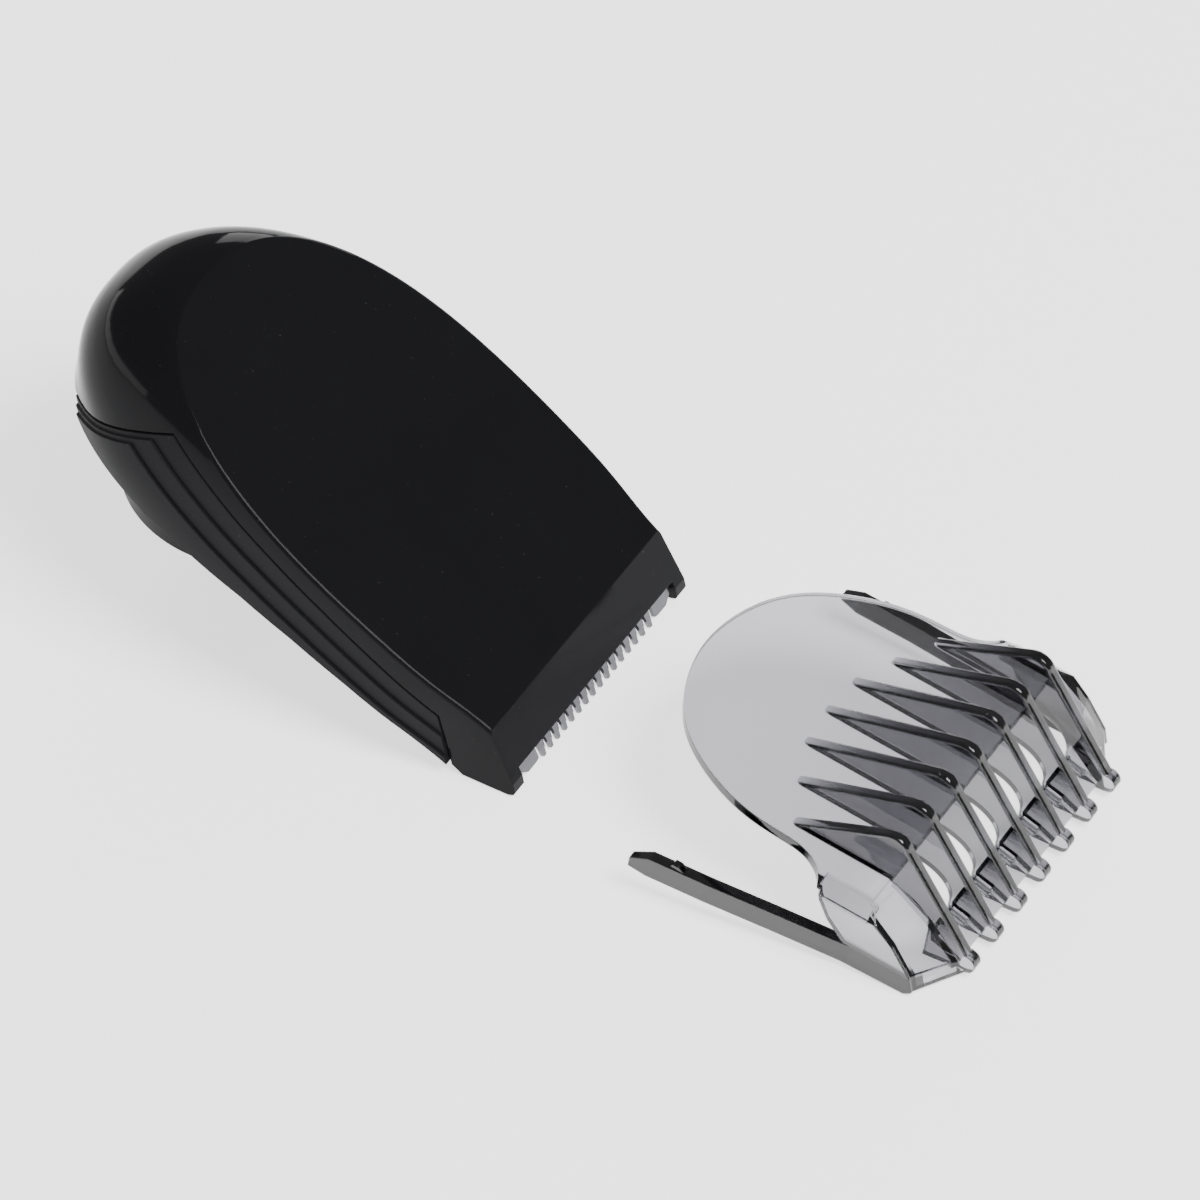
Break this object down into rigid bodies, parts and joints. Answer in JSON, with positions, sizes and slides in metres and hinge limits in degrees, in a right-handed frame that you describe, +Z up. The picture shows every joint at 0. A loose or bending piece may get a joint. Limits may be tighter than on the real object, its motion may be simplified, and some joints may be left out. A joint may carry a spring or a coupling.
{
  "type": "trimmer head with guide comb",
  "caption": "Click-on hair trimmer head with a flat sloping top, stepped side rails, a toothed steel blade and a smoke-grey finned guide comb.",
  "frame": {"origin": "on the axis of the coupling plug, at the plug's bottom face, which stands on the surface", "axes": "+Z up along the coupling axis, +X towards the cutting edge and the comb, +Y to the left"},
  "size_m": [0.1197, 0.0464, 0.039],
  "materials": {
    "gloss_black": "polished moulded",
    "satin_black": "satin moulded",
    "matte_black": "fine spark texture",
    "smoke_clear": "clear smoke tint, polished",
    "blade_steel": "ground",
    "pin_steel": "turned",
    "screw_steel": "plated",
    "bronze": "sintered",
    "seal_rubber": "moulded",
    "white_pom": "natural moulded"
  },
  "bodies": {
    "head": {"top_shell": "gloss_black", "bottom_cover": "satin_black", "side_rail_left": "matte_black", "side_rail_right": "matte_black", "coupling_base": "satin_black", "housing_screws": "screw_steel", "lower_bush": "bronze", "upper_bush": "bronze", "shaft_seal": "seal_rubber", "thrust_washer": "white_pom", "lever_pivot_pin": "pin_steel", "pivot_clip": "pin_steel", "blade_holder": "satin_black", "blade_screws": "screw_steel", "guard_blade": "blade_steel", "cutter_spring": "pin_steel", "hair_seal": "seal_rubber"},
    "drive": {"drive_socket": "white_pom", "drive_shaft": "pin_steel", "eccentric_cam": "white_pom"},
    "lever": {"drive_lever": "white_pom", "lever_bush": "bronze"},
    "cutter": {"cutter_carrier": "white_pom", "cutter_blade": "blade_steel"},
    "comb": {"guide_comb": "smoke_clear"}
  },
  "joints": [
    {"name": "drive_spin", "type": "hinge", "parent": "head", "child": "drive", "pos_m": [0, 0, 0.0175], "axis": [0, 0, 1], "continuous": true},
    {"name": "lever_swing", "type": "hinge", "parent": "head", "child": "lever", "pos_m": [0.01919, 0, 0.01479], "axis": [0.5524, 0, 0.8336], "range_deg": [-2, 2]},
    {"name": "cutter_slide", "type": "slide", "parent": "head", "child": "cutter", "axis": [0, 1, 0], "range_m": [-0.00075, 0.00075]},
    {"name": "comb_mount", "type": "hinge", "parent": "head", "child": "comb", "pos_m": [0.06005, 0, 0.11223], "axis": [0, 1, 0], "range_deg": [0, 24.34]}
  ],
  "couplings": [
    {"joint": "cutter_slide", "follows": "lever_swing", "m_per_rad": 0.021}
  ]
}
